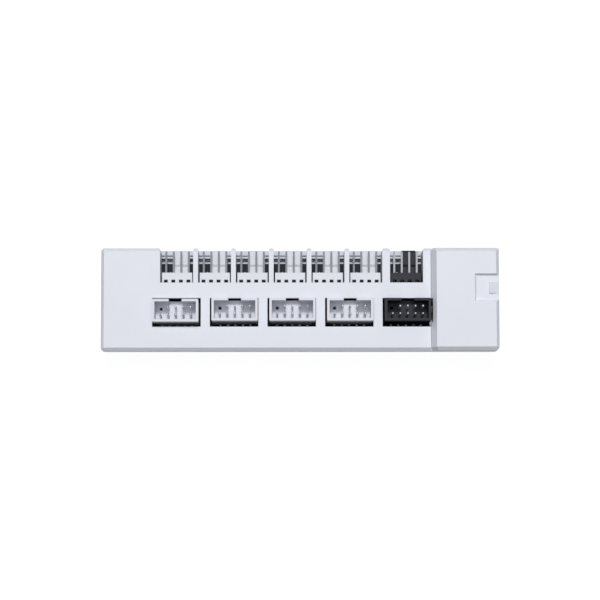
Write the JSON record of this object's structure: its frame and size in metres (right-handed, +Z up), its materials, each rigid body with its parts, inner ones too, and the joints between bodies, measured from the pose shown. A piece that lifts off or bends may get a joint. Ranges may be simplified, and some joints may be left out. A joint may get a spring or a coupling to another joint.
{
  "type": "pc fan controller hub",
  "caption": "Flat white hub for a computer case: fan headers in bays along its front edge, upright USB headers through its top, and a power inlet in a raised block at one end.",
  "frame": {"origin": "centre of the under side, on the surface that the hub lies on", "axes": "+X along the case to the power inlet, +Y to the fan headers, +Z up out of the cover"},
  "size_m": [0.1334, 0.0352, 0.0158],
  "materials": {
    "case_white": "fine spark-eroded satin",
    "tray_grey": "fine spark-eroded satin",
    "header_white": "plain moulded",
    "header_black": "plain moulded",
    "inlet_white": "plain moulded",
    "board_black": "black solder mask",
    "pin_tin": "tin plated",
    "contact_gold": "gold plated",
    "screw_steel": "zinc plated",
    "chip_black": "moulded epoxy",
    "can_aluminium": "drawn",
    "chip_ceramic": "fired"
  },
  "bodies": {
    "root": {"base_tray": "tray_grey", "bulk_capacitors": "can_aluminium", "case_screws": "screw_steel", "chip_capacitors": "chip_ceramic", "chip_resistors": "chip_ceramic", "circuit_board": "board_black", "fan_buffer_chip": "chip_black", "fan_header_1": "header_white", "fan_header_2": "header_white", "fan_header_3": "header_white", "fan_header_4": "header_white", "fan_header_5": "header_white", "fan_header_6": "header_white", "fan_pins_1": "pin_tin", "fan_pins_2": "pin_tin", "fan_pins_3": "pin_tin", "fan_pins_4": "pin_tin", "fan_pins_5": "pin_tin", "fan_pins_6": "pin_tin", "hub_crystal": "can_aluminium", "power_fuse": "chip_black", "pwm_input_header": "header_black", "pwm_input_pins": "pin_tin", "sata_contacts": "contact_gold", "sata_inlet": "inlet_white", "top_cover": "case_white", "usb_hub_chip": "chip_black", "usb_input_pins": "pin_tin", "usb_input_shroud": "header_black", "usb_pins_1": "pin_tin", "usb_pins_2": "pin_tin", "usb_pins_3": "pin_tin", "usb_pins_4": "pin_tin", "usb_shroud_1": "header_white", "usb_shroud_2": "header_white", "usb_shroud_3": "header_white", "usb_shroud_4": "header_white"}
  },
  "joints": []
}
